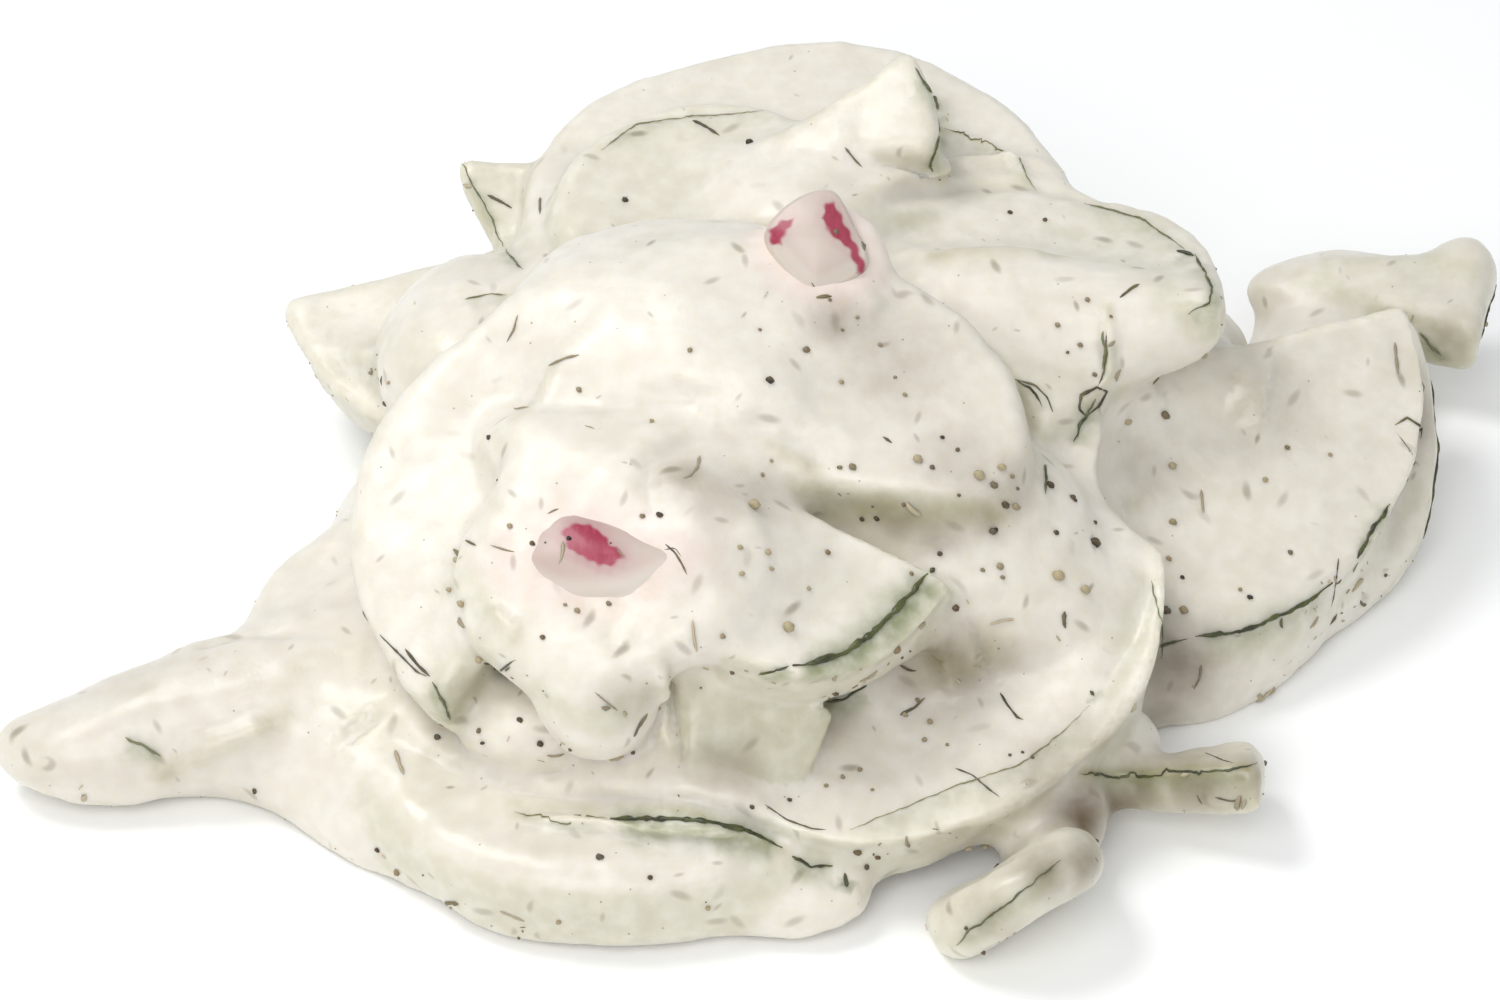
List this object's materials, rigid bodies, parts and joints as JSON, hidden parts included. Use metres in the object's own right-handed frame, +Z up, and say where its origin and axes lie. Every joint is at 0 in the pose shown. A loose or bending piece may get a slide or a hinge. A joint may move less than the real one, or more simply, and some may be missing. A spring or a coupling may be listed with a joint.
{
  "type": "cucumber salad",
  "caption": "Creamy cucumber salad: a spooned heap of dressed cucumber slices with dill, pepper and two pieces of radish, resting flat on its underside.",
  "frame": {"origin": "middle of the flat underside, at the middle of the heap's bounding box", "axes": "+Z up, +X along the heap's longest side to the right as pictured, -Y towards the viewer"},
  "size_m": [0.1214, 0.0908, 0.0402],
  "materials": {
    "dressing": "moist sour cream dressing with flecks of dill and pepper, over pale green cucumber",
    "radish": "moist white radish flesh with pink-red skin, thinly coated"
  },
  "bodies": {
    "root": {"salad_heap": "dressing", "radish_upper": "radish", "radish_lower": "radish"}
  },
  "joints": []
}
